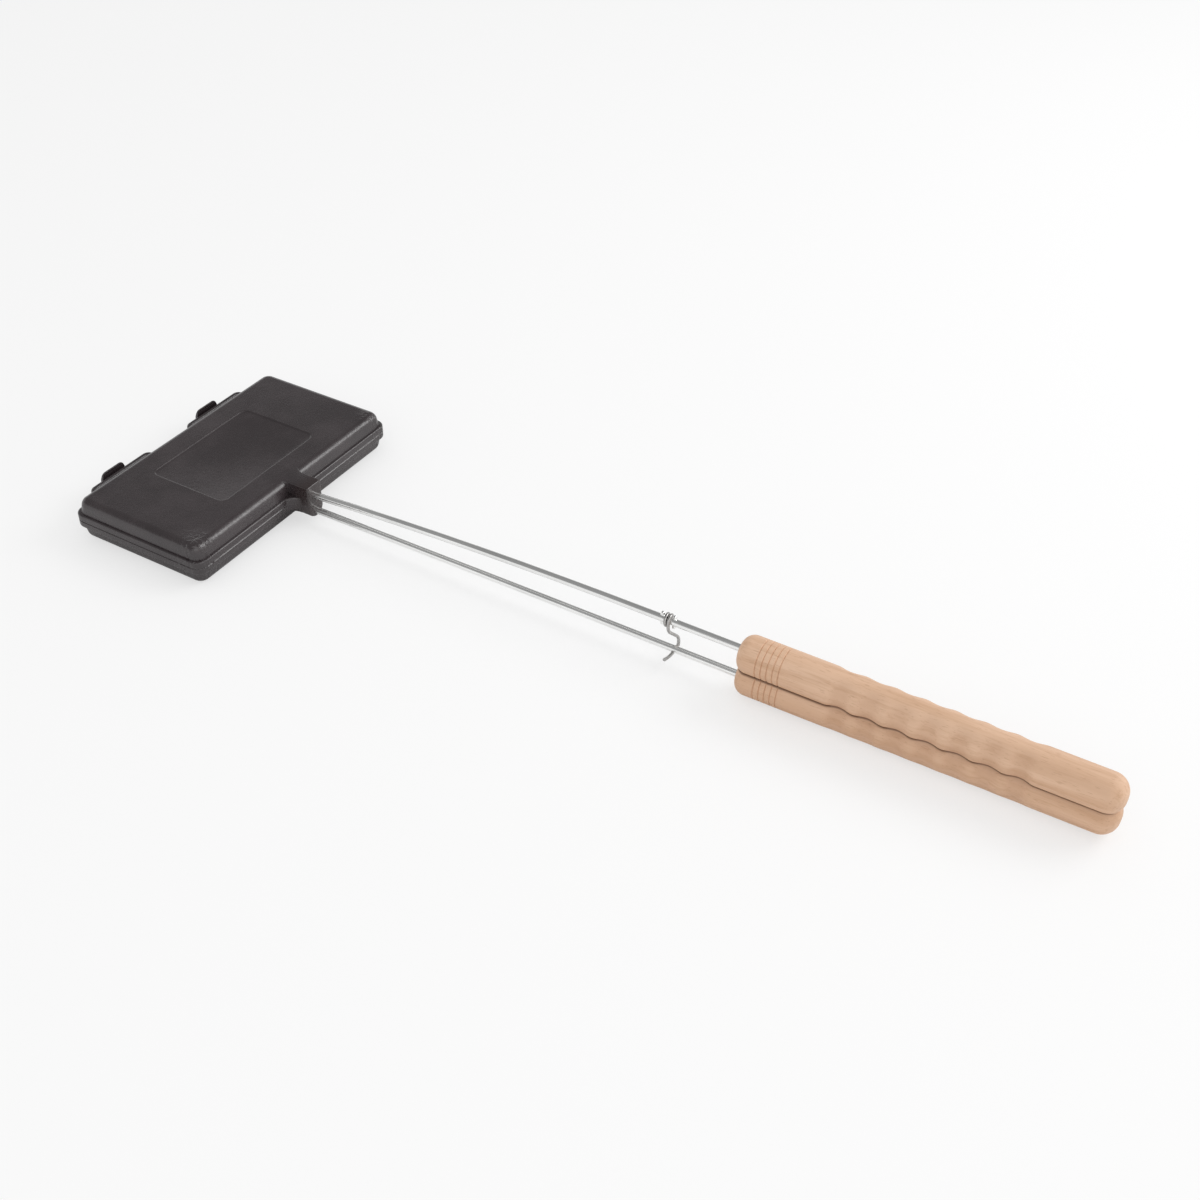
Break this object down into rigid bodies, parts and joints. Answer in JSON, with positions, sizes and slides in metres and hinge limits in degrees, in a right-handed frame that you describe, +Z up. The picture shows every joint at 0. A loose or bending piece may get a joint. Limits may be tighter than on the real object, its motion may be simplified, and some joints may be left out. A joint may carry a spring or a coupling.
{
  "type": "pie iron",
  "caption": "Long-handled pie iron: shallow cast pans hinged along one edge, plated rods, finger-grooved wooden handles and a wire latch that hooks the rods together.",
  "frame": {"origin": "centre of the footprint of the closed iron, on the surface that it lies on", "axes": "+X from the hinge to the handle ends, +Y along the hinge axis, +Z up through the closed pans"},
  "size_m": [0.7142, 0.206, 0.0432],
  "materials": {
    "iron": "seasoned, slightly rough",
    "rod": "bright plated",
    "wire": "bright plated",
    "handle": "sanded beech, no varnish"
  },
  "bodies": {
    "lower_half": {"lower_pan": "iron", "lower_rod": "rod", "lower_handle": "handle"},
    "upper_half": {"upper_pan": "iron", "upper_rod": "rod", "upper_handle": "handle"},
    "latch": {"latch_wire": "wire"}
  },
  "joints": [
    {"name": "lid_hinge", "type": "hinge", "parent": "lower_half", "child": "upper_half", "pos_m": [-0.355, 0, 0.0185], "axis": [0, -1, 0], "range_deg": [0, 170]},
    {"name": "latch_swing", "type": "hinge", "parent": "upper_half", "child": "latch", "pos_m": [0.0681, 0, 0.03235], "axis": [1, 0, 0], "range_deg": [0, 180]}
  ]
}
